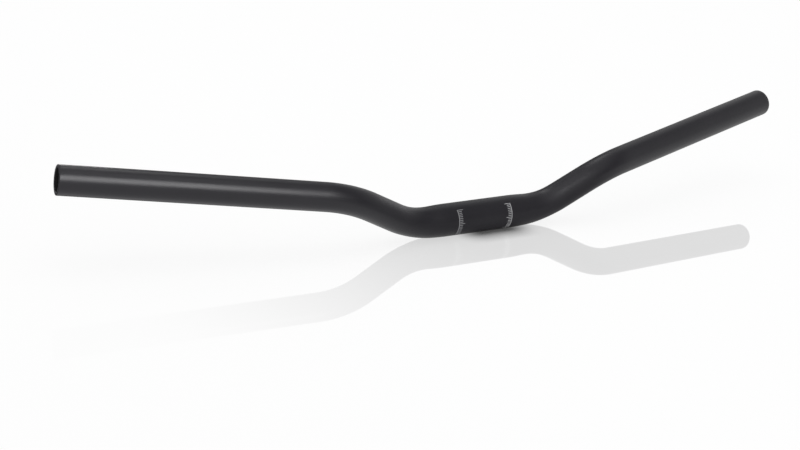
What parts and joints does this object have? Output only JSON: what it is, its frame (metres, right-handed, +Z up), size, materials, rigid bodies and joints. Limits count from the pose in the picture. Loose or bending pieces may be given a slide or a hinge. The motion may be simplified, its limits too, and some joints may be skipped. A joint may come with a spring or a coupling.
{
  "type": "riser handlebar",
  "caption": "Riser handlebar: one bent aluminium tube with a thicker straight stem seat in the middle, a short riser on each side and long back-swept grip ends, open at both ends.",
  "frame": {"origin": "middle of the stem seat, on the tube's axis", "axes": "+X along the stem seat towards the rider's left, +Z up the risers, +Y back towards the rider, so the bar's front faces -Y"},
  "size_m": [0.6654, 0.0731, 0.0737],
  "materials": {
    "black_finish": "satin black coating over fine blasting, with a pale printed alignment scale on the stem seat"
  },
  "bodies": {
    "root": {"handlebar": "black_finish"}
  },
  "joints": []
}
